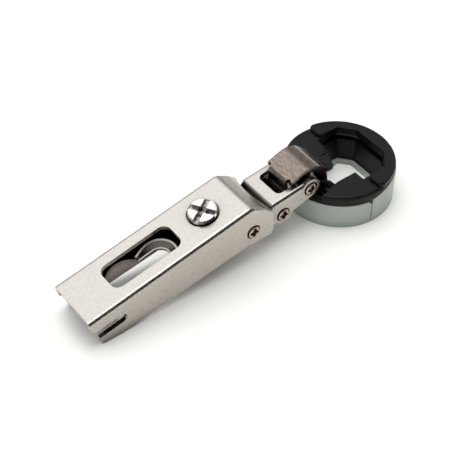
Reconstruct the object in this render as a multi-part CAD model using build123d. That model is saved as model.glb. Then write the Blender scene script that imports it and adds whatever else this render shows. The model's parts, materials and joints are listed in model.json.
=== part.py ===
from build123d import *
import math
import os

# Concealed cup hinge for a thin door, standing open: the cup lies flat and the arm slopes down to the rear.
# Millimetres. The origin is on the cup's axis at its underside, +Z up, the arm lies toward -X.
# Most steel parts are drawn in the arm's own frame: x forward along the arm from its rear edge, z away from
# its flat top face, which is z = 0. ARM_ORIGIN and ARM_PITCH place that frame.

ARM_ORIGIN = (-71.513, 7.816)
ARM_PITCH = 11.5

# Pivots. The first three are in the arm's frame, the two cup pins in the cup's frame.
TILT_PIVOT = (40.9, -6.95)
OUTER_PIVOT = (49.7, -10.0)
INNER_PIVOT = (57.8, -8.1)
OUTER_CUP_PIN = (-6.62, 5.46)
INNER_CUP_PIN = (-6.01, 2.32)

# Turns of the links and the cup from open to closed, seen from -Y, anticlockwise positive.
OUTER_LINK_TURN = -12.0
CUP_TURN = 101.5
INNER_LINK_TURN = 10.44

PIN_R = 1.0
OUTER_CUP_PIN_R = 0.9
INNER_CUP_PIN_R = 0.75
RUNNING = 0.05
PRESS = 0.01
SEAT_GAP = 0.02

# Arm: a folded channel of 1 mm sheet.
SHEET = 1.0
ARM_HALF = 6.75
ARM_BEND_R = 0.95
NOSE_CORNERS, NOSE_RADII = ((41.95, 0), (44.83, -2.43)), (2.5, 8.0)
NOSE_TIP, NOSE_CUT_Z = (46.6, -4.8), -4.65
WINDOW_REAR, WINDOW_FRONT, WINDOW_HALF, WINDOW_CORNER_R = 8.6, 26.15, 3.54, 2.0
SLOT_TOP, SLOT_BOTTOM, SLOT_FRONT = -3.35, -5.9, 7.9
NOSE_HOLLOW_X, NOSE_HOLLOW_DEPTH = 45.0, 1.9
SCREW_X = 33.6
SCREW_SEAT_R, SCREW_SEAT_DEPTH = 3.65, 0.3
NECK_R, NECK_GAP = 2.2, 0.1

# Adjusting screw: a low head crossed by two slots that run out at its rim.
SCREW_HEAD_R, SCREW_HEAD_H, SCREW_HEAD_ROUND = 3.33, 1.45, 0.35
SCREW_COLLAR_R, SCREW_COLLAR_H = 3.0, 0.6
SCREW_SHANK_R, SCREW_END = 2.0, -9.2
CROSS_W, CROSS_DEPTH, CROSS_TURN = 1.15, 0.85, 28.0

# Keyhole plate inside the arm.
PLATE_TOP, PLATE_REAR, PLATE_FRONT, PLATE_HALF = -3.75, 1.6, 28.4, 5.72
KEYHOLE_X, KEYHOLE_R, KEYSLOT_HALF, KEYSLOT_END_X = 13.0, 4.95, 2.45, 21.1
BEAD_R, BEAD_H, BEAD_TOP_W, BEAD_TIP_X = 4.35, 0.45, 0.25, 16.6
LUG_REAR, LUG_FRONT, LUG_H, LUG_CLEARANCE = 3.4, 5.7, 1.0, 0.08

# Link channel.
CHANNEL_HALF, CHANNEL_BEND_R = 5.45, 0.9
CHANNEL_TOP, CHANNEL_TOP_X, CHANNEL_SLOPE = -5.3, 48.0, 4.3
TAIL_REAR, TAIL_HALF, CHANNEL_REAR, CHANNEL_FRONT = 30.6, 3.7, 38.9, 54.8
CREASE_X, CREASE_LIP, CREASE_ANGLE, TAIL_WEB_FRONT = 47.6, 2.3, 42.0, 43.9
NOTCH_REAR, NOTCH_HALF, NOTCH_R = 50.35, 3.6, 1.25
EAR_R, BOSS_R = 2.5, 2.4
TAIL_HOLE_CLEARANCE = 0.35

# Rivet heads, set in shallow counterbores.
HEAD_R, HEAD_PROUD, COUNTERBORE_R, COUNTERBORE = 1.55, 0.42, 1.78, 0.45

# Outer link: one strip of 0.9 mm sheet.
STRIP = 0.9
BAND_HALF, NECK_HALF, TONGUE_HALF = 4.2, 2.85, 1.8
NECK_X, BAND_CENTRE, BAND_R = 53.25, (57.9, -8.6), 4.95
BAND_REAR_ANGLE, BAND_FRONT_ANGLE = 100.0, 38.6
BAND_REAR_X, BAND_FRONT_Z, EYE_TOP_Z, RELIEF_R = 54.0, -7.5, -8.1, 0.55
EYE_R2, EYE_C1 = 1.95, 1.9

# Inner link: two side plates joined by a web.
LINK_PLATE, LINK_HALF, LINK_EYE_R = 0.9, 3.1, 1.68
PIN_SWEEP_CLEARANCE = 0.35
FORK_WALL, FORK_CLEARANCE = 0.5, 0.08

# Cup.
CUP_R, LAND_Z, RIM_Z = 13.0, 8.8, 9.6
SLEEVE_H, SLEEVE_FRONT_H, STEP_X, STEP_Z, STEP_TOP_X = 6.4, 7.9, -1.13, 6.7, 4.6
SLEEVE_WALL, SLEEVE_LIP_H, SKIRT_GAP = 1.6, 0.8, 0.05
SLIT_ANGLE, SLIT_W, SLIT_NICK_W, SLIT_NICK_H = -95.0, 0.25, 1.0, 1.0
CUP_FLOOR_Z, RING_R, RING_EASE = 0.3, 12.8, 0.75
RIM_END_X, RIM_CORNER_R, RIM_EASE = 1.1, 1.3, 0.25
POCKET_HALF, POCKET_FRONT, SIDE_RECESS_X = 5.3, -10.3, 0.1
RECESS_HALF_TOP, RECESS_HALF_BOTTOM = 8.2, 7.0
MOUTH_Z, CUP_PIN_HALF = 7.1, 8.4


def to_row(x, z):
    """A point of the arm's frame, in the row's frame."""
    a = math.radians(ARM_PITCH)
    dx, dz = x * math.cos(a) - z * math.sin(a), x * math.sin(a) + z * math.cos(a)
    return (ARM_ORIGIN[0] + dx, ARM_ORIGIN[1] + dz)


def to_arm(x, z):
    """A point of the row's frame, in the arm's frame."""
    a = math.radians(ARM_PITCH)
    dx, dz = x - ARM_ORIGIN[0], z - ARM_ORIGIN[1]
    return (dx * math.cos(a) + dz * math.sin(a), -dx * math.sin(a) + dz * math.cos(a))


def turned(point, centre, degrees):
    """A point turned about a centre, anticlockwise as seen from -Y."""
    a = math.radians(degrees)
    dx, dz = point[0] - centre[0], point[1] - centre[1]
    return (centre[0] + dx * math.cos(a) - dz * math.sin(a), centre[1] + dx * math.sin(a) + dz * math.cos(a))


def on_circle(centre, radius, degrees):
    a = math.radians(degrees)
    return (centre[0] + radius * math.cos(a), centre[1] + radius * math.sin(a))


def in_arm(shape):
    return Location((ARM_ORIGIN[0], 0, ARM_ORIGIN[1]), (0, -ARM_PITCH, 0)) * shape


def side(sketch, half):
    """A side view drawn in (x, z), made a solid from -half to +half in y."""
    return extrude(Plane.XZ * sketch, amount=half, both=True)


def outline(*points):
    return make_face(Polyline(*points, close=True))


def cross_pin(point, radius, y0, y1):
    """A cylinder along y."""
    return Pos(point[0], (y0 + y1) / 2, point[1]) * Rot(90, 0, 0) * Cylinder(radius, y1 - y0)


def both_sides(point, radius, y0, y1):
    return cross_pin(point, radius, y0, y1) + cross_pin(point, radius, -y1, -y0)


def upright(x, radius, z0, z1):
    return Pos(x, 0, (z0 + z1) / 2) * Cylinder(radius, z1 - z0)


def block(x0, x1, half, z0, z1):
    return Pos((x0 + x1) / 2, 0, (z0 + z1) / 2) * Box(x1 - x0, 2 * half, z1 - z0)


def rounded(face, corners, radius):
    """The face with the corners nearest the given points rounded."""
    picked = [min(face.vertices(), key=lambda v: math.dist((v.X, v.Y), corner)) for corner in corners]
    return fillet(picked, radius)


def long_top_edges(solid, half, lowest):
    """The long edges where a folded channel's top meets its sides."""
    return [e for e in solid.edges() if abs(abs(e.center().Y) - half) < 1e-3 and e.center().Z > lowest
            and e.geom_type != GeomType.CIRCLE and e.bounding_box().size.X > 0.5]


def arm_channel():
    shoulder = (NOSE_CORNERS[0][0] - 2.5, 0)
    curve = FilletPolyline(shoulder, *NOSE_CORNERS, NOSE_TIP, radius=NOSE_RADII)
    front_foot, rear_foot, rear_heel = (45.5, -11.35), (0.9, -8.1), (-0.4, SLOT_TOP)
    low_edge = [(5.2, -9.0), (39.7, -10.17), (40.3, -10.68), (42.3, -10.86)]
    edges = Polyline(NOSE_TIP, (46.35, -8.2), front_foot, *reversed(low_edge), rear_foot, (0.8, SLOT_TOP),
                     rear_heel, (-0.2, 0), shoulder)
    wall = rounded(make_face(Curve() + [curve, edges]), [front_foot, rear_foot], 0.7)
    outer = side(rounded(wall, [rear_heel], 1.1), ARM_HALF)
    outer = fillet(long_top_edges(outer, ARM_HALF, -4.0), ARM_BEND_R)
    joint_x = shoulder[0] + 0.5
    hollow = outline((shoulder[0], -SHEET / 2), NOSE_CORNERS[1], NOSE_TIP, (50, -9), (50, -14),
                     (shoulder[0], -14))
    hollow -= trace(curve, line_width=2 * SHEET)
    hollow += outline((-5, -SHEET), (joint_x, -SHEET), (joint_x, -14), (-5, -14))
    arm = outer - side(hollow, ARM_HALF - SHEET)

    window = RectangleRounded(WINDOW_FRONT - WINDOW_REAR, 2 * WINDOW_HALF, WINDOW_CORNER_R)
    arm -= Pos((WINDOW_REAR + WINDOW_FRONT) / 2, 0, 0) * extrude(window, amount=2, both=True)
    slot_r = (SLOT_TOP - SLOT_BOTTOM) / 2
    slot_end = (SLOT_FRONT - slot_r, (SLOT_TOP + SLOT_BOTTOM) / 2)
    arm -= block(-3, slot_end[0], 8, SLOT_BOTTOM, SLOT_TOP)
    arm -= cross_pin(slot_end, slot_r, -8, 8)
    arm -= upright(SCREW_X, SCREW_SEAT_R, -SCREW_SEAT_DEPTH, 1)
    arm -= upright(SCREW_X, NECK_R + NECK_GAP, -2, 1)
    arm -= cross_pin(TILT_PIVOT, PIN_R + PRESS, -8, 8)
    arm -= both_sides(TILT_PIVOT, COUNTERBORE_R, ARM_HALF - COUNTERBORE, 8)
    arm -= block(42, 60, ARM_HALF - SHEET - 0.01, -8, NOSE_CUT_Z)

    # The nose's front edge is hollow in plan.
    hollow_r = (ARM_HALF ** 2 + NOSE_HOLLOW_DEPTH ** 2) / (2 * NOSE_HOLLOW_DEPTH)
    arm -= upright(NOSE_HOLLOW_X + hollow_r, hollow_r, -7.5, 0)
    return in_arm(arm)


def slot_rim(radius, tip_half):
    """The outline round the keyhole's slot in plan: round in front, closing in toward the hole."""
    middle = ((KEYSLOT_END_X + BEAD_TIP_X) / 2, tip_half + 0.65 * (radius - tip_half) + 0.05)
    flank = ThreePointArc((BEAD_TIP_X, tip_half), middle, (KEYSLOT_END_X, radius))
    front = ThreePointArc((KEYSLOT_END_X, radius), (KEYSLOT_END_X + radius, 0), (KEYSLOT_END_X, -radius))
    back = Line((BEAD_TIP_X, -tip_half), (BEAD_TIP_X, tip_half))
    return make_face(Curve() + [flank, front, mirror(flank, Plane.XZ), back])


def keyhole_plate():
    """Its slot is rimmed by a raised bead and dished for the head of the screw that slides along it."""
    top = PLATE_TOP
    plate = block(PLATE_REAR, PLATE_FRONT, PLATE_HALF, top - SHEET, top)
    plate += Pos(0, 0, top - SHEET / 2) * extrude(slot_rim(BEAD_R, 2.75), amount=BEAD_H + SHEET / 2)
    dish_floor = Pos(0, 0, top - 0.4) * slot_rim(KEYSLOT_HALF + 0.1, KEYSLOT_HALF - 0.15)
    dish_mouth = Pos(0, 0, top + BEAD_H) * slot_rim(BEAD_R - BEAD_TOP_W, 2.6)
    plate -= loft([dish_floor, dish_mouth], ruled=True)
    hole = Pos(KEYHOLE_X, 0) * Circle(KEYHOLE_R) + Pos(KEYSLOT_END_X, 0) * Circle(KEYSLOT_HALF)
    hole += Pos((KEYHOLE_X + KEYSLOT_END_X) / 2, 0) * Rectangle(KEYSLOT_END_X - KEYHOLE_X, 2 * KEYSLOT_HALF)
    plate -= Pos(0, 0, top - 3) * extrude(hole, amount=6)
    lug_top = SLOT_TOP - LUG_CLEARANCE
    lugs = block(LUG_REAR, LUG_FRONT, ARM_HALF - 0.15, lug_top - LUG_H, lug_top)
    plate += lugs - block(LUG_REAR, LUG_FRONT, PLATE_HALF - 0.8, -6, 0)
    return in_arm(plate + block(PLATE_FRONT - SHEET, PLATE_FRONT, 3.0, top - SHEET, -SHEET))


def rivet(point, shank, half):
    """A rivet across the hinge, with its two formed heads sunk in counterbores."""
    heads = both_sides(point, HEAD_R, half - COUNTERBORE + SEAT_GAP, half + HEAD_PROUD)
    return cross_pin(point, shank, -half, half) + heads


def adjusting_screw():
    head_z = -SCREW_SEAT_DEPTH + NECK_GAP
    top = head_z + SCREW_HEAD_H
    under = -SHEET - NECK_GAP
    head = upright(SCREW_X, SCREW_HEAD_R, head_z, top)
    rims = [e for e in head.edges() if e.geom_type == GeomType.CIRCLE and e.center().Z > top - 0.1]
    head = chamfer(rims, SCREW_HEAD_ROUND)
    for turn in (CROSS_TURN, CROSS_TURN + 90):
        head -= Pos(SCREW_X, 0, top) * Rot(0, 0, turn) * Box(4 * SCREW_HEAD_R, CROSS_W, 2 * CROSS_DEPTH)
    head += upright(SCREW_X, NECK_R, under, head_z)
    head += upright(SCREW_X, SCREW_COLLAR_R, under - SCREW_COLLAR_H, under)
    return in_arm(head + upright(SCREW_X, SCREW_SHANK_R, SCREW_END, under))


def channel_top(x):
    return CHANNEL_TOP - math.tan(math.radians(CHANNEL_SLOPE)) * (x - CHANNEL_TOP_X)


def link_channel():
    """A channel with its top open over the pivot: the front part's edge there is bent down in a lip."""
    rear, front = CHANNEL_REAR, CHANNEL_FRONT
    crease = (CREASE_X, channel_top(CREASE_X))
    lip = on_circle(crease, CREASE_LIP, 180 + CREASE_ANGLE)
    lip_under = on_circle(lip, SHEET, CREASE_ANGLE - 90)
    crease_under = (CREASE_X + SHEET * math.tan(math.radians(CREASE_ANGLE / 2)), crease[1] - SHEET)
    web_front = (TAIL_WEB_FRONT, channel_top(TAIL_WEB_FRONT))
    wall = outline((rear, channel_top(rear)), web_front, lip, crease, (front, channel_top(front)),
                   (56.7, -5.95), (58.3, -10.55), (51.6, -11.1), (47.7, -11.3), (40.9, -9.25), (rear, -8.1))
    wall = rounded(wall, [crease], 1.2)
    wall += Pos(*INNER_PIVOT) * Circle(EAR_R) + Pos(*OUTER_PIVOT) * Circle(BOSS_R)
    channel = side(wall, CHANNEL_HALF)
    bends = [e for e in long_top_edges(channel, CHANNEL_HALF, -6.1) if e.bounding_box().size.X > 4]
    channel = fillet(bends, CHANNEL_BEND_R)
    hollow = outline((20, channel_top(20) - SHEET), (web_front[0], web_front[1] - SHEET), (web_front[0], 5),
                     lip, lip_under, crease_under, (front, channel_top(front) - SHEET), (front, 5),
                     (70, 5), (70, -20), (20, -20))
    channel -= side(hollow, CHANNEL_HALF - SHEET)
    join = rear + 0.5
    tail = outline((TAIL_REAR, channel_top(TAIL_REAR)), (join, channel_top(join)),
                   (join, channel_top(join) - SHEET), (TAIL_REAR, channel_top(TAIL_REAR) - SHEET))
    tail = side(tail, TAIL_HALF)
    tail = fillet(tail.edges().filter_by(Axis.Z, tolerance=5).sort_by(Axis.X)[:2], 1.4)
    channel += tail
    channel -= upright(SCREW_X, SCREW_SHANK_R + TAIL_HOLE_CLEARANCE, -9, 0)
    notch_length = 8.0
    notch = Pos(NOTCH_REAR + notch_length / 2, 0) * RectangleRounded(notch_length, 2 * NOTCH_HALF, NOTCH_R)
    channel -= Pos(0, 0, -7.6) * extrude(notch, amount=6)
    channel -= cross_pin(TILT_PIVOT, PIN_R + RUNNING, -8, 8)
    for point in (OUTER_PIVOT, INNER_PIVOT):
        channel -= cross_pin(point, PIN_R + PRESS, -8, 8)
        channel -= both_sides(point, COUNTERBORE_R, CHANNEL_HALF - COUNTERBORE, 8)
    return in_arm(channel)


def outer_link():
    """One strip: an eye on the lower rivet, a narrow neck, a wide band arched over the cup's edge, and a
    tongue rolled round the cup's pin."""
    arc_start = on_circle(BAND_CENTRE, BAND_R, BAND_REAR_ANGLE)
    arc_end = on_circle(BAND_CENTRE, BAND_R, BAND_FRONT_ANGLE)
    fall = (math.sin(math.radians(BAND_FRONT_ANGLE)), -math.cos(math.radians(BAND_FRONT_ANGLE)))
    rise = math.tan(math.radians(90 - BAND_REAR_ANGLE))
    neck_top = (NECK_X, arc_start[1] + rise * (arc_start[0] - NECK_X))
    eye_x = OUTER_PIVOT[0] + EYE_R2 - STRIP / 2
    pin = to_arm(*OUTER_CUP_PIN)
    tongue_x = pin[0] + EYE_C1 - STRIP / 2
    reach = (tongue_x - arc_end[0]) / fall[0]
    knee = (tongue_x, arc_end[1] + reach * fall[1])
    rear = FilletPolyline((eye_x, OUTER_PIVOT[1]), (eye_x, OUTER_PIVOT[1] + 1.3), (NECK_X, -6.9),
                          neck_top, arc_start, radius=0.8)
    crown = CenterArc(BAND_CENTRE, BAND_R, BAND_FRONT_ANGLE, BAND_REAR_ANGLE - BAND_FRONT_ANGLE)
    front = FilletPolyline(arc_end, knee, (tongue_x, pin[1]), radius=1.6)
    strip = trace([rear, crown, front], line_width=STRIP)
    strip += Pos(*OUTER_PIVOT) * Circle(EYE_R2) + Pos(*pin) * Circle(EYE_C1)
    strip -= Pos(*OUTER_PIVOT) * Circle(PIN_R + RUNNING)
    strip -= Pos(*pin) * Circle(OUTER_CUP_PIN_R + RUNNING)
    link = side(strip, BAND_HALF)
    link -= block(45, BAND_REAR_X, 10, EYE_TOP_Z, 0) - block(40, 60, NECK_HALF, -20, 0)
    link -= block(59, 70, 10, -20, BAND_FRONT_Z) - block(40, 70, TONGUE_HALF, -25, 0)
    relief = Pos(BAND_REAR_X - 0.3, NECK_HALF + RELIEF_R, -3) * Cylinder(RELIEF_R, 5)
    link -= relief + mirror(relief, Plane.XZ)
    return in_arm(link)


def inner_link():
    """Two side plates and a web. Its fork takes the cup's lower pin with room for the travel of the linkage,
    and its side plates are notched for the sweep of the upper pin."""
    outer_pin = to_arm(*OUTER_CUP_PIN)
    inner_pin = to_arm(*INNER_CUP_PIN)
    steps = 8

    def outer_pin_at(t):
        return turned(outer_pin, OUTER_PIVOT, OUTER_LINK_TURN * t)

    def inner_pin_at(t):
        start = outer_pin_at(t)
        return turned((start[0] + inner_pin[0] - outer_pin[0], start[1] + inner_pin[1] - outer_pin[1]),
                      start, CUP_TURN * t)

    def seen_from_link(point_at):
        share = [k / steps for k in range(steps + 1)]
        return [turned(point_at(t), INNER_PIVOT, -INNER_LINK_TURN * t) for t in share]

    outer_path = seen_from_link(outer_pin_at)
    inner_path = seen_from_link(inner_pin_at)
    far = max(inner_path, key=lambda point: math.dist(point, inner_path[0]))
    sweep_r = OUTER_CUP_PIN_R + PIN_SWEEP_CLEARANCE
    sweep = trace(Spline(*outer_path), line_width=2 * sweep_r)
    sweep += Pos(*outer_path[0]) * Circle(sweep_r) + Pos(*outer_path[-1]) * Circle(sweep_r)

    plate = outline((57.0, -9.55), (60.0, -12.4), (61.7, -13.6), (62.4, -18.0), (62.0, -19.6), (64.0, -20.3),
                    (65.6, -19.4), (66.1, -17.4), (66.1, -15.9), (65.4, -14.6), (61.8, -11.2), (59.0, -7.0))
    plate += Pos(*INNER_PIVOT) * Circle(LINK_EYE_R)
    fork_r = INNER_CUP_PIN_R + FORK_CLEARANCE
    plate += Pos(*far) * Circle(fork_r + FORK_WALL)
    keep = Pos(*far) * Circle(fork_r + FORK_WALL)
    keep += trace(Line(inner_path[0], far), line_width=2 * (fork_r + FORK_WALL))
    keep += outline((40, 0), (80, 0), (80, -17.2), (40, -17.2))
    keep += outline((64.0, -16), (66.2, -16), (65.6, -19.0), (64.6, -19.4))
    plate &= keep
    mouth = (far[0] + 2.4 * (inner_path[0][0] - far[0]), far[1] + 2.4 * (inner_path[0][1] - far[1]))
    plate -= trace(Line(far, mouth), line_width=2 * fork_r)
    plate -= Pos(*far) * Circle(fork_r)
    plate -= sweep
    link = side(plate, LINK_HALF) - side(plate, LINK_HALF - LINK_PLATE)
    web = outline((57.3, -9.85), (60.0, -12.4), (61.7, -13.6), (62.2, -12.9), (60.6, -11.7), (57.9, -9.2))
    web -= Pos(*INNER_PIVOT) * Circle(PIN_R + 0.3)
    web -= sweep
    link += side(web, LINK_HALF)
    spacers = both_sides(INNER_PIVOT, LINK_EYE_R, LINK_HALF, CHANNEL_HALF - SHEET - 0.12)
    return in_arm(link + spacers - cross_pin(INNER_PIVOT, PIN_R + RUNNING, -8, 8))


def pocket_outline(grow, level):
    """The pocket's far half in plan at a level: it narrows a little toward the bottom."""
    t = (RIM_Z - level) / RIM_Z
    far_x, far_y = 9.35 - 0.75 * t + grow, 4.6 - 0.4 * t + 0.4 * grow
    side_x = 6.45 - 0.25 * t + 0.5 * grow
    side_y = RECESS_HALF_TOP - (RECESS_HALF_TOP - RECESS_HALF_BOTTOM) * t + grow
    return outline((-20, -side_y), (side_x, -side_y), (far_x, -far_y), (far_x, far_y), (side_x, side_y),
                   (-20, side_y))


def pocket():
    """The space inside the cup: a central slot for the links and a wider far half for the channel's ears."""
    tall, low = 12.0, -1.0
    hull = loft([Pos(0, 0, low) * pocket_outline(0, low), Pos(0, 0, tall) * pocket_outline(0, tall)])
    slot = block(POCKET_FRONT, 20, POCKET_HALF, -2, 13)
    sloped = outline((SIDE_RECESS_X, 13), (SIDE_RECESS_X, LAND_Z), (3.85, 0.5), (3.85, -2), (20, -2), (20, 13))
    return hull & (slot + side(sloped, 20))


def disc(radius, z0, z1):
    return Pos(0, 0, z0) * Cylinder(radius, z1 - z0, align=(Align.CENTER, Align.CENTER, Align.MIN))


def eased_disc(radius, z0, z1, ease):
    """A disc whose upper edge is eased by three flats, on a quarter circle."""
    quarter = [on_circle((radius - ease, z1 - ease), ease, angle) for angle in (0, 30, 60, 90)]
    return revolve(Plane.XZ * outline((0, z0), (radius, z0), *quarter, (0, z1)), Axis.Z)


def above_sleeve():
    """The space above the sleeve's upper edge, which steps up at the slit and rises toward the front."""
    return side(outline((-20, SLEEVE_H), (STEP_X, SLEEVE_H), (STEP_X, STEP_Z), (STEP_TOP_X, SLEEVE_FRONT_H),
                        (20, SLEEVE_FRONT_H), (20, 20), (-20, 20)), 20)


def cup_body():
    """The moulded cup. Its ring sits on the sleeve, and the rim stands up round the pocket's far half."""
    ring = eased_disc(RING_R, CUP_FLOOR_Z, LAND_Z, RING_EASE)
    lug = Circle(RING_R) & (Pos(RIM_END_X + 10, 0) * Rectangle(20, 40))
    lug -= Rectangle(8, 2 * RECESS_HALF_TOP)
    lug = fillet([v for v in lug.vertices() if v.X < RIM_END_X + 0.5], RIM_CORNER_R)
    rim = Pos(0, 0, SLEEVE_H) * extrude(lug, amount=RIM_Z - SLEEVE_H)
    rim = chamfer(rim.edges().group_by(Axis.Z)[-1], RIM_EASE)
    skirt_r = CUP_R - SLEEVE_WALL - SKIRT_GAP
    body = disc(skirt_r, CUP_FLOOR_Z, SLEEVE_H) + ((ring & above_sleeve()) + (rim & above_sleeve()))
    body -= block(3.4, 20, 20, -1, SLEEVE_LIP_H + 0.05)
    body -= pocket()
    mouth = outline((-5.2, POCKET_HALF), (-11.0, 6.9), (-14.0, 7.8), (-14.0, -7.8), (-11.0, -6.9),
                    (-5.2, -POCKET_HALF))
    body -= Pos(0, 0, MOUTH_Z) * extrude(mouth, amount=5)
    for point, radius in ((OUTER_CUP_PIN, OUTER_CUP_PIN_R), (INNER_CUP_PIN, INNER_CUP_PIN_R)):
        body -= cross_pin(point, radius + PRESS, -8.5, 8.5)
    return body


def cup_sleeve():
    """The split sleeve round the cup, with an inward lip under the cup's far half."""
    inner_r = CUP_R - SLEEVE_WALL
    sleeve = disc(CUP_R, 0, SLEEVE_FRONT_H) - disc(inner_r, -1, 20)
    sleeve -= above_sleeve()
    lip = disc(inner_r + 0.2, 0, SLEEVE_LIP_H) - block(-20, 3.5, 20, -1, 2)
    lip -= Pos(0, 0, -1) * extrude(pocket_outline(-0.9, 0), amount=3)
    nick = side(outline((-SLIT_NICK_W, SLEEVE_H + 1), (-SLIT_NICK_W, SLEEVE_H), (0, SLEEVE_H - SLIT_NICK_H),
                        (0, SLEEVE_H + 1)), 3)
    slit = block(-2, 2, SLIT_W / 2, -1, 12)
    at_slit = Rot(0, 0, SLIT_ANGLE) * Pos(CUP_R - SLEEVE_WALL / 2, 0, 0)
    return sleeve + lip - at_slit * (slit + Rot(0, 0, 90) * nick)


def cup_pin(point, radius):
    return cross_pin(point, radius, -CUP_PIN_HALF, CUP_PIN_HALF)


NODES = {
    "arm_channel": arm_channel,
    "keyhole_plate": keyhole_plate,
    "arm_pivot_rivet": lambda: in_arm(rivet(TILT_PIVOT, PIN_R, ARM_HALF)),
    "adjusting_screw": adjusting_screw,
    "link_channel": link_channel,
    "outer_link_rivet": lambda: in_arm(rivet(OUTER_PIVOT, PIN_R, CHANNEL_HALF)),
    "inner_link_rivet": lambda: in_arm(rivet(INNER_PIVOT, PIN_R, CHANNEL_HALF)),
    "outer_link": outer_link,
    "inner_link": inner_link,
    "cup_body": cup_body,
    "cup_sleeve": cup_sleeve,
    "outer_link_pin": lambda: cup_pin(OUTER_CUP_PIN, OUTER_CUP_PIN_R),
    "inner_link_pin": lambda: cup_pin(INNER_CUP_PIN, INNER_CUP_PIN_R),
}

os.makedirs("parts", exist_ok=True)
for name, build in NODES.items():
    export_step(build(), f"parts/{name}.step")
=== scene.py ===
import math

import bpy
from mathutils import Matrix, Vector
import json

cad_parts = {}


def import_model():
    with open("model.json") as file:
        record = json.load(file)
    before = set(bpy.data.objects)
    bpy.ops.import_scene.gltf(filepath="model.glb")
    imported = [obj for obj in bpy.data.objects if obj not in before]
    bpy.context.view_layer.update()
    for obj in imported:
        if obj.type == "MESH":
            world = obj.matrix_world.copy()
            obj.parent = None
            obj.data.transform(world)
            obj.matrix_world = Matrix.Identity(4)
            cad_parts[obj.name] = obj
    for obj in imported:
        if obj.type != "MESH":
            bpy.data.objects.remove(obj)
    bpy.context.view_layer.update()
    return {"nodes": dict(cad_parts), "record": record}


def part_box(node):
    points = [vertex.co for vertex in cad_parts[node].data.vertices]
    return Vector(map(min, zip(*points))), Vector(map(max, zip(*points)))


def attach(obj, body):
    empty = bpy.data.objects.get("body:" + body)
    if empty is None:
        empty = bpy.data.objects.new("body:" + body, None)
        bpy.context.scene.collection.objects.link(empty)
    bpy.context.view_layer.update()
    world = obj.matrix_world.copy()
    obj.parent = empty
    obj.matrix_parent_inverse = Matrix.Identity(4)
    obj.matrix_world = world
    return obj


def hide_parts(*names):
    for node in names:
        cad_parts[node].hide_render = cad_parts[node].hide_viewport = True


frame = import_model()

# A concealed cup hinge. The CAD nodes are the frame, in metres. This script gives them materials, and sets
# worked rivets, a slotted screw and the lips of the keyhole slot on them. The pieces are drawn in
# millimetres, and MM turns those into metres.
MM = 0.001
TURN = 2 * math.pi
JOINT = {joint["name"]: joint for joint in frame["record"]["behaviour"]["joints"]}


# ---------------------------------------------------------------- materials

# The middle part of a noise's range, which is stretched over the whole of what it drives.
NOISE_FROM, NOISE_TO = 0.35, 0.65

# How open a point is, from 0 to 1, where it gets no painted shade and where it is all painted shade, and the
# rays that tell.
OPEN_FACE, HEMMED_IN, SHELTER_RAYS = 0.92, 0.35, 8

# Grains per metre for the tone, the gloss and the relief, and how far the gloss strays either way.
METAL_TONE, METAL_GLOSS, METAL_RELIEF, METAL_STRAY = 3600, 2600, 4200, 0.05
PLASTIC_TONE, PLASTIC_GLOSS, PLASTIC_RELIEF, PLASTIC_STRAY = 900, 1400, 5200, 0.04
# How far plastic looks for surfaces that hem it in, where it gets painted shade.
PLASTIC_SHADE_REACH = 0.003


def srgb(*values):
    """A display colour, 0 to 255, as the linear colour that shaders take."""
    def one(v):
        v = v / 255
        return v / 12.92 if v <= 0.04045 else ((v + 0.055) / 1.055) ** 2.4
    return tuple(one(v) for v in values) + (1.0,)


# Colours of the painted shade in hollows and slots: a dull grey-brown, and a browner one for the screw's
# slots.
HOLLOW_SHADE, SLOT_SHADE = srgb(58, 52, 47), srgb(92, 72, 62)


def set_range(ramp, start, end, low=0.0, high=1.0):
    """Sets a Map Range node to carry start..end over to low..high."""
    for key, value in (("From Min", start), ("From Max", end), ("To Min", low), ("To Max", high)):
        ramp.inputs[key].default_value = value


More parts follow.
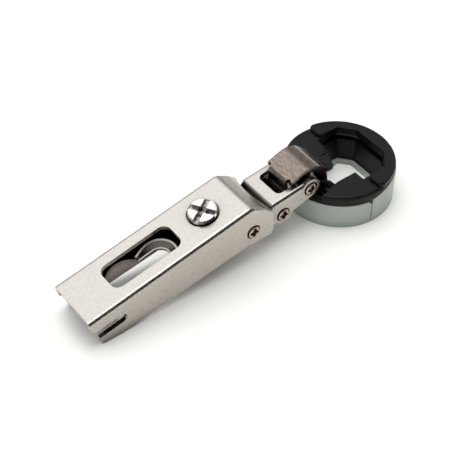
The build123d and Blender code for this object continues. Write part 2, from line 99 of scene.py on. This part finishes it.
class Nodes:
    """A material under construction: node() adds a node and link() joins two sockets."""

    def __init__(self, name):
        self.material = bpy.data.materials.new(name)
        self.material.use_nodes = True
        self.tree = self.material.node_tree
        self.shader = self.tree.nodes["Principled BSDF"]

    def node(self, kind, **settings):
        """Adds a node. A setting goes to its socket of that name, or else to its property."""
        made = self.tree.nodes.new(kind)
        for key, value in settings.items():
            if key in made.inputs.keys():
                made.inputs[key].default_value = value
            else:
                setattr(made, key, value)
        return made

    def link(self, a, out, b, into):
        self.tree.links.new(a.outputs[out], b.inputs[into])

    def noise(self, per_metre, detail=3.0, stretch=(1, 1, 1)):
        """Noise that is fixed to the mesh's own coordinates, each scaled by its share of stretch."""
        place = self.node("ShaderNodeTexCoord")
        scale = self.node("ShaderNodeMapping", Scale=stretch)
        made = self.node("ShaderNodeTexNoise", Scale=per_metre, Detail=detail)
        self.link(place, "Object", scale, "Vector")
        self.link(scale, "Vector", made, "Vector")
        return made

    def gloss(self, source, rough, stray):
        """Lets a noise vary the shader's roughness a little either way."""
        ramp = self.node("ShaderNodeMapRange")
        set_range(ramp, NOISE_FROM, NOISE_TO, rough - stray, rough + stray)
        self.link(source, "Fac", ramp, "Value")
        self.link(ramp, "Result", self.shader, "Roughness")

    def tones(self, source, low, high):
        """Spreads a noise over two colours."""
        made = self.node("ShaderNodeValToRGB")
        first, last = made.color_ramp.elements
        first.position, first.color = NOISE_FROM, low
        last.position, last.color = NOISE_TO, high
        self.link(source, "Fac", made, "Fac")
        return made

    def paint_hollow_shade(self, tone, shade_colour, reach, start=HEMMED_IN):
        """Colours the shader: the tone, mixed toward a painted shade colour where other surfaces hem it in,
        as in slots and hollows.
        """
        shelter = self.node("ShaderNodeAmbientOcclusion", Distance=reach, samples=SHELTER_RAYS)
        ramp = self.node("ShaderNodeMapRange")
        set_range(ramp, start, OPEN_FACE)
        self.link(shelter, "AO", ramp, "Value")
        mixed = self.node("ShaderNodeMixRGB", Color1=shade_colour)
        self.link(ramp, "Result", mixed, "Fac")
        self.link(tone, "Color", mixed, "Color2")
        self.link(mixed, "Color", self.shader, "Base Color")

    def relief(self, source, height):
        """Raises and lowers the surface by a noise."""
        made = self.node("ShaderNodeBump", Strength=1.0, Distance=height)
        self.link(source, "Fac", made, "Height")
        self.link(made, "Normal", self.shader, "Normal")


def sheet_metal(name, light, dark, rough, grain_height=0.000004, stretch=(1, 1, 1), shade_colour=HOLLOW_SHADE, reach=0.004,
                start=HEMMED_IN, metallic=1.0):
    """Plated metal: a fine speckled grain in tone, gloss and height, with painted shade darkening its
    hollows.
    """
    m = Nodes(name)
    m.shader.inputs["Metallic"].default_value = metallic
    m.paint_hollow_shade(m.tones(m.noise(METAL_TONE, stretch=stretch), dark, light), shade_colour, reach, start)
    m.gloss(m.noise(METAL_GLOSS, stretch=stretch), rough, METAL_STRAY)
    m.relief(m.noise(METAL_RELIEF, stretch=stretch), grain_height)
    return m.material


def plastic(name, light, dark, rough, shade_colour, grain_height=0.000008, **shader):
    """Moulded plastic: an even tone with a fine matte grain, and painted shade in its hollows."""
    m = Nodes(name)
    m.paint_hollow_shade(m.tones(m.noise(PLASTIC_TONE), dark, light), shade_colour, PLASTIC_SHADE_REACH)
    m.gloss(m.noise(PLASTIC_GLOSS, detail=2.0), rough, PLASTIC_STRAY)
    m.relief(m.noise(PLASTIC_RELIEF, detail=2.0), grain_height)
    for key, value in shader.items():
        m.shader.inputs[key.replace("_", " ")].default_value = value
    return m.material


def dress(material, *nodes):
    """Gives CAD nodes a material."""
    for node in nodes:
        mesh = frame["nodes"][node].data
        mesh.materials.clear()
        mesh.materials.append(material)


# ---------------------------------------------------------------- turned pieces with worked faces

# Edges sharper than this stay crisp in the shading.
CRISP_ANGLE = math.radians(38)


def ease(low, high, value):
    """0 below low, 1 above high, with a smooth rise between."""
    t = min(max((value - low) / (high - low), 0), 1)
    return t * t * (3 - 2 * t)


def relief_disc(radius, spokes, rings, height):
    """A round face as rings of points, lifted by height(x, y), and the ring of points at its rim."""
    points, faces = [(0, 0, height(0, 0))], []
    for ring in range(1, rings + 1):
        r = radius * ring / rings
        for k in range(spokes):
            x, y = r * math.cos(TURN * k / spokes), r * math.sin(TURN * k / spokes)
            points.append((x, y, height(x, y)))
    for k in range(spokes):
        faces.append((0, 1 + k, 1 + (k + 1) % spokes))
    for ring in range(rings - 1):
        inner, outer = 1 + ring * spokes, 1 + (ring + 1) * spokes
        for k in range(spokes):
            after = (k + 1) % spokes
            faces.append((inner + k, outer + k, outer + after, inner + after))
    return points, faces, list(range(len(points) - spokes, len(points)))


def go_down(points, faces, rim, profile):
    """Carries a rim of points on down a turned profile of (radius, height) pairs, and closes the end."""
    spokes, above = len(rim), rim
    for radius, level in profile:
        start = len(points)
        for k in range(spokes):
            points.append((radius * math.cos(TURN * k / spokes), radius * math.sin(TURN * k / spokes), level))
        for k in range(spokes):
            after = (k + 1) % spokes
            faces.append((above[k], start + k, start + after, above[after]))
        above = list(range(start, start + spokes))
    faces.append(tuple(reversed(above)))


def turned_piece(name, points, faces, place, axis, material):
    """A piece drawn in millimetres round its own z axis, set at a place with that axis along another."""
    mesh = bpy.data.meshes.new(name)
    mesh.from_pydata([Vector(p) * MM for p in points], [], faces)
    mesh.transform(Vector(axis).to_track_quat("Z", "Y").to_matrix().to_4x4())
    mesh.transform(Matrix.Translation(place))
    mesh.materials.append(material)
    mesh.polygons.foreach_set("use_smooth", [True] * len(mesh.polygons))
    mesh.set_sharp_from_angle(angle=CRISP_ANGLE)
    piece = bpy.data.objects.new(name, mesh)
    bpy.context.collection.objects.link(piece)
    return piece


# ---------------------------------------------------------------- rivets

# The head's radius, its height with a ring of points part of the way down its side, and the shank's radius.
RIVET_R, RIVET_HEAD, HEAD_RING, RIVET_SHANK_R = 1.47, 0.85, 0.45, 1.0
RIVET_SPOKES, RIVET_RINGS = 72, 26

# How far the face drops toward its rim, and from which radius.
RIM_DROP, RIM_FROM = 0.16, 1.1

# The recess in the head: its mean radius, how far its four lobes swing from that, the angle they start at,
# its depth, and the width of its sloping edge inside and outside its outline.
RECESS_R, RECESS_SWING, RECESS_START, RECESS_DEPTH = 0.88, 0.24, 0.6, 0.75
RECESS_IN, RECESS_OUT = 0.16, 0.08

# The pip in the recess, a little off its middle: its place, its height, and its radius at top and foot.
PIP_X, PIP_Y, PIP_HEIGHT = 0.1, -0.26, 0.45
PIP_TOP_R, PIP_FOOT_R = 0.08, 0.24


def rosette(x, y):
    """The face of a formed rivet: a soft rim, and a four-lobed recess with a small pip in it."""
    r, angle = math.hypot(x, y), math.atan2(y, x)
    edge = RECESS_R + RECESS_SWING * math.cos(4 * angle + RECESS_START)
    recess = RECESS_DEPTH * (1 - ease(edge - RECESS_IN, edge + RECESS_OUT, r))
    pip = PIP_HEIGHT * (1 - ease(PIP_TOP_R, PIP_FOOT_R, math.hypot(x - PIP_X, y - PIP_Y)))
    return pip - recess - RIM_DROP * ease(RIM_FROM, RIVET_R, r)


def rivet_piece(node, joint, body, material):
    """A rivet right across the hinge, as two halves that meet in its middle, each with a worked head."""
    low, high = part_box(node)
    half, pivot = (high[1] - low[1]) / 2 / MM, JOINT[joint]["pos_m"]
    profile = ((RIVET_R, -HEAD_RING), (RIVET_R, -RIVET_HEAD), (RIVET_SHANK_R, -RIVET_HEAD),
               (RIVET_SHANK_R, -half))
    for end, sign in (("near", -1), ("far", 1)):
        points, faces, rim = relief_disc(RIVET_R, RIVET_SPOKES, RIVET_RINGS, rosette)
        go_down(points, faces, rim, profile)
        place = Vector((pivot[0], sign * half * MM, pivot[2]))
        piece = turned_piece(f"{node}_{end}", points, faces, place, (0, sign, 0), material)
        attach(piece, body)
        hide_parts(node)


# ---------------------------------------------------------------- adjusting screw

# The radius of the face and of the head at its foot, and the face's height over the joint's place.
SCREW_FACE_R, SCREW_R, SCREW_TOP = 3.14, 3.33, 1.25
SCREW_SPOKES, SCREW_RINGS = 144, 60

# How far the face drops toward its rim, and over what width.
FACE_DROP, FACE_DROP_WIDTH = 0.09, 0.3

# The crossed slots: half their width, their depth, how far they are turned round the screw's axis, and the
# width of their sloping sides inside and outside that half width.
SLOT_HALF, SLOT_DEPTH, SLOT_TURN = 0.63, 0.85, math.radians(28.0)
SLOT_IN, SLOT_OUT = 0.16, 0.06

# Their floor sinks toward the middle, between two radii, and rises a little toward the rim, from another.
MIDDLE_DEPTH, MIDDLE_R, MIDDLE_END_R = 0.75, 0.5, 1.5
FLOOR_RISE, FLOOR_RISE_FROM = 0.12, 2.0

# Heights below the face, and under it the screw's outline as (radius, height): the head's tapered side with a
# shallow groove, the neck in the arm, the swaged collar under it, and the shank.
HEAD_END, NECK_END, COLLAR_END, SHANK_END = -1.45, -2.35, -2.95, -10.4
GROOVE_R, NECK_R, COLLAR_R, SCREW_SHANK_R = SCREW_R - 0.05, 2.2, 3.0, 2.0
SCREW_PROFILE = (
    (SCREW_R, -1.0), (GROOVE_R, -1.08), (GROOVE_R, -1.16), (SCREW_R, -1.24), (SCREW_R, HEAD_END),
    (NECK_R, HEAD_END), (NECK_R, NECK_END),
    (COLLAR_R, NECK_END), (COLLAR_R, COLLAR_END),
    (SCREW_SHANK_R, COLLAR_END), (SCREW_SHANK_R, SHANK_END),
)


def crossed(x, y):
    """The screw's face: four flats parted by two slots that meet in a deeper middle."""
    across = (x * math.cos(SLOT_TURN) + y * math.sin(SLOT_TURN),
              y * math.cos(SLOT_TURN) - x * math.sin(SLOT_TURN))
    r = math.hypot(x, y)
    cut = max(1 - ease(SLOT_HALF - SLOT_IN, SLOT_HALF + SLOT_OUT, abs(v)) for v in across)
    middle = MIDDLE_DEPTH * (1 - ease(MIDDLE_R, MIDDLE_END_R, r))
    depth = SLOT_DEPTH + middle - FLOOR_RISE * ease(FLOOR_RISE_FROM, SCREW_FACE_R, r)
    return -depth * cut - FACE_DROP * ease(SCREW_FACE_R - FACE_DROP_WIDTH, SCREW_FACE_R, r)


def screw_piece(material):
    """The adjusting screw: its slotted head, the neck in the arm, the swaged collar and the shank."""
    node, joint = "adjusting_screw", JOINT["screw_turn"]
    axis, seat = Vector(joint["axis"]), Vector(joint["pos_m"])
    points, faces, rim = relief_disc(SCREW_FACE_R, SCREW_SPOKES, SCREW_RINGS, crossed)
    go_down(points, faces, rim, SCREW_PROFILE)
    piece = turned_piece("slotted_screw", points, faces, seat + axis * SCREW_TOP * MM, axis, material)
    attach(piece, "screw")
    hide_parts(node)


# ---------------------------------------------------------------- lips of the keyhole slot

# The arm's own plane: x and z of its origin in the frame, and how steeply the arm rises toward the cup.
ARM_X, ARM_Z, ARM_PITCH = -71.513, 7.816, math.radians(11.5)

# In that plane, the keyhole plate's slot: where its flanks start, where its round front is centred, and the
# height of the plate's upper face.
KEYSLOT_START, KEYSLOT_END, PLATE_TOP = 17.2, 21.1, -3.75
FLANK_STEPS, FRONT_STEPS = 16, 32

# The lips: name, radius of the front, half width where the flanks start, height, and radius of the wire.
SLOT_LIPS = (
    ("slot_bead_lip", 4.2, 3.0, PLATE_TOP + 0.42, 0.27),
    ("slot_edge_lip", 2.63, 2.55, PLATE_TOP - 0.41, 0.17),
)
LIP_ROUNDING = 3


def in_arm(x, y, z):
    """A point given in the arm's own plane, x along it and z out of its top, as a place in metres."""
    return Vector((ARM_X + x * math.cos(ARM_PITCH) - z * math.sin(ARM_PITCH), y,
                   ARM_Z + x * math.sin(ARM_PITCH) + z * math.cos(ARM_PITCH))) * MM


def slot_outline(radius, start_half):
    """The slot's outline: a flank that swells from start_half to radius, a round front, the other flank."""
    flank = []
    for k in range(FLANK_STEPS):
        t = k / FLANK_STEPS
        flank.append((KEYSLOT_START + (KEYSLOT_END - KEYSLOT_START) * t,
                      start_half + (radius - start_half) * math.sin(math.pi / 2 * t)))
    front = []
    for k in range(FRONT_STEPS + 1):
        t = k / FRONT_STEPS
        front.append((KEYSLOT_END + radius * math.sin(math.pi * t), radius * math.cos(math.pi * t)))
    return flank + front + [(x, -y) for x, y in reversed(flank)]


def slot_lip(name, radius, start_half, level, wire, material):
    """A rounded lip along the outline of the keyhole plate's slot, at a height in the arm's plane."""
    outline = slot_outline(radius, start_half)
    data = bpy.data.curves.new(name, "CURVE")
    data.dimensions = "3D"
    data.bevel_depth = wire * MM
    data.bevel_resolution = LIP_ROUNDING
    data.use_fill_caps = True
    spline = data.splines.new("POLY")
    spline.points.add(len(outline) - 1)
    for point, (x, y) in zip(spline.points, outline):
        point.co = (*in_arm(x, y, level), 1)
    data.materials.append(material)
    piece = bpy.data.objects.new(name, data)
    bpy.context.collection.objects.link(piece)
    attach(piece, "arm")


# ---------------------------------------------------------------- floor, lights and camera

FLOOR_SIZE, FLOOR_COLOUR = 3.0, srgb(250, 248, 242)
FLOOR_ROUGHNESS, FLOOR_SHINE = 0.9, 0.1

# One large panel lights the floor and the plastics. Metal reflects the sky and the floor, not the panel.
PANEL_SIZE, PANEL_POWER = (1.1, 1.1), 2.7
PANEL_AT, PANEL_AIM = (-0.06, 0.0, 0.5), (-0.035, 0, 0.005)

# The sky: its colour, and its strength as a sum of lobes. Each lobe is a direction, the cosines of the angle
# from it where the lobe starts and where it is full, and the strength outside it and at its middle.
SKY_COLOUR = (0.94, 0.97, 1, 1)
AMBIENT, DIM_SHARE = 0.6, 0.04
DIM_SIDE = ((0.2, -0.85, 0.35), 0.5, 0.78, AMBIENT, AMBIENT * DIM_SHARE)
SOFTBOX = ((0.08, 0.5, 0.86), 0.86, 0.96, 0, 1.3)
STRIP_LIGHT = ((0.06, 0.0, 0.99), 0.95, 0.99, 0, 3.4)

# The camera looks down on the hinge from behind the arm's near side: its angles in degrees, the point that it
# looks at and how far that is, its focal length and sensor width in millimetres, and its near clip in metres.
LOOK_AZIMUTH, LOOK_DOWN, LOOK_ROLL = 52.497, 45.461, -0.647
AIM, AIM_DISTANCE = Vector((-37.157, -5.877, 14.868)) * MM, 250 * MM
LENS, SENSOR, CLIP_START = 96.0, 36.0, 0.01


def floor():
    """A plain pale floor that the hinge lies on."""
    bpy.ops.mesh.primitive_plane_add(size=FLOOR_SIZE, location=(0, 0, 0))
    made = bpy.context.object
    made.name = "floor"
    m = Nodes("floor")
    m.shader.inputs["Base Color"].default_value = FLOOR_COLOUR
    m.shader.inputs["Roughness"].default_value = FLOOR_ROUGHNESS
    m.shader.inputs["Specular IOR Level"].default_value = FLOOR_SHINE
    made.data.materials.append(m.material)


def panel_light(name, size, power, place, target):
    """A soft rectangular light at a place, facing a target, that metal doesn't reflect."""
    data = bpy.data.lights.new(name, "AREA")
    data.shape = "RECTANGLE"
    data.size, data.size_y = size
    data.energy = power
    lamp = bpy.data.objects.new(name, data)
    bpy.context.collection.objects.link(lamp)
    lamp.location = place
    lamp.visible_glossy = False
    lamp.rotation_euler = (Vector(target) - Vector(place)).to_track_quat("-Z", "Y").to_euler()


def lobe(tree, toward, start, end, low, high):
    """How strongly the sky shines round one direction: low outside the lobe, and high at its middle."""
    nodes, links = tree.nodes, tree.links
    place, dot = nodes.new("ShaderNodeTexCoord"), nodes.new("ShaderNodeVectorMath")
    dot.operation = "DOT_PRODUCT"
    dot.inputs[1].default_value = Vector(toward).normalized()
    links.new(place.outputs["Generated"], dot.inputs[0])
    ramp = nodes.new("ShaderNodeMapRange")
    ramp.interpolation_type = "SMOOTHSTEP"
    set_range(ramp, start, end, low, high)
    links.new(dot.outputs["Value"], ramp.inputs["Value"])
    return ramp.outputs["Result"]


def world():
    """A studio sky: a bright softbox high behind the hinge, a strip overhead, and a dim near side."""
    made = bpy.data.worlds.new("studio")
    made.use_nodes = True
    tree = made.node_tree
    strength = lobe(tree, *DIM_SIDE)
    for bright in (SOFTBOX, STRIP_LIGHT):
        total = tree.nodes.new("ShaderNodeMath")
        tree.links.new(strength, total.inputs[0])
        tree.links.new(lobe(tree, *bright), total.inputs[1])
        strength = total.outputs[0]
    background = tree.nodes["Background"]
    background.inputs["Color"].default_value = SKY_COLOUR
    tree.links.new(strength, background.inputs["Strength"])
    bpy.context.scene.world = made


def camera():
    """The camera, at the photograph's angle."""
    azimuth, down, roll = (math.radians(v) for v in (LOOK_AZIMUTH, LOOK_DOWN, LOOK_ROLL))
    ahead = Vector((math.cos(azimuth) * math.cos(down), math.sin(azimuth) * math.cos(down), -math.sin(down)))
    right = Vector((math.sin(azimuth), -math.cos(azimuth), 0))
    up = right.cross(ahead)
    turned_right = right * math.cos(roll) - up * math.sin(roll)
    turned_up = right * math.sin(roll) + up * math.cos(roll)
    data = bpy.data.cameras.new("camera")
    data.lens, data.sensor_width = LENS, SENSOR
    data.clip_start = CLIP_START
    made = bpy.data.objects.new("camera", data)
    bpy.context.collection.objects.link(made)
    axes = Matrix((turned_right, turned_up, -ahead)).transposed()
    made.matrix_world = Matrix.Translation(AIM - ahead * AIM_DISTANCE) @ axes.to_4x4()
    bpy.context.scene.camera = made


# ---------------------------------------------------------------- the scene

# Every finish below gets painted shade in its hollows and slots, toward its shade colour.
nickel = sheet_metal("nickel_sheet", srgb(191, 185, 177), srgb(179, 172, 164), rough=0.3,
                     grain_height=0.000011)
# The keyhole plate lies deep in the arm's window: its nickel is a darker, browner copy of the sheet's, as
# painted shade.
shaded_plate_nickel = sheet_metal("nickel_plate_in_shade", srgb(152, 140, 128), srgb(130, 118, 106), rough=0.2,
                           grain_height=0.000006)
# The lips are the bead's and slot's rounded rims, in a lighter copy of the sheet nickel, only partly metallic
# so the panel lights them: painted highlight.
lip_highlight_nickel = sheet_metal("nickel_lip_highlight", srgb(236, 231, 224), srgb(226, 220, 212), rough=0.2,
                         grain_height=0.000002, reach=0.0005, metallic=0.35)
strip_steel = sheet_metal("satin_strip", srgb(140, 127, 118), srgb(108, 96, 87), rough=0.24,
                          grain_height=0.000006, stretch=(1, 0.2, 1))
rivet_steel = sheet_metal("rivet_steel", srgb(192, 174, 160), srgb(166, 144, 130), rough=0.24, reach=0.0012)
screw_steel = sheet_metal("screw_steel", srgb(232, 228, 223), srgb(222, 217, 211), rough=0.2,
                          grain_height=0.000002, shade_colour=SLOT_SHADE, reach=0.001, start=0.72)
# The inner link and both pins sit in shade inside the cup and channel: their steel is painted dark as shade.
shaded_steel = sheet_metal("shaded_steel", srgb(74, 68, 64), srgb(52, 47, 44), rough=0.42)
black = plastic("black_plastic", srgb(19, 19, 19), srgb(14, 14, 15), rough=0.34, shade_colour=srgb(7, 7, 7),
                Specular_IOR_Level=0.17)
milky = plastic("pale_plastic", srgb(169, 178, 170), srgb(162, 172, 164), rough=0.38,
                shade_colour=srgb(140, 146, 134), grain_height=0.000003,
                Subsurface_Weight=0.3, Subsurface_Scale=0.003)

# The nodes that pieces stand in for wear the same finish as the pieces.
dress(nickel, "arm_channel", "link_channel")
dress(shaded_plate_nickel, "keyhole_plate")
dress(strip_steel, "outer_link")
dress(shaded_steel, "inner_link", "outer_link_pin", "inner_link_pin")
dress(rivet_steel, "arm_pivot_rivet", "outer_link_rivet", "inner_link_rivet")
dress(screw_steel, "adjusting_screw")
dress(black, "cup_body")
dress(milky, "cup_sleeve")

rivet_piece("arm_pivot_rivet", "arm_tilt", "arm", rivet_steel)
rivet_piece("outer_link_rivet", "outer_link_turn", "channel", rivet_steel)
rivet_piece("inner_link_rivet", "inner_link_turn", "channel", rivet_steel)
screw_piece(screw_steel)
for lip in SLOT_LIPS:
    slot_lip(*lip, lip_highlight_nickel)

floor()
world()
panel_light("overhead", PANEL_SIZE, PANEL_POWER, PANEL_AT, PANEL_AIM)
camera()
bpy.context.scene.view_settings.view_transform = "Standard"
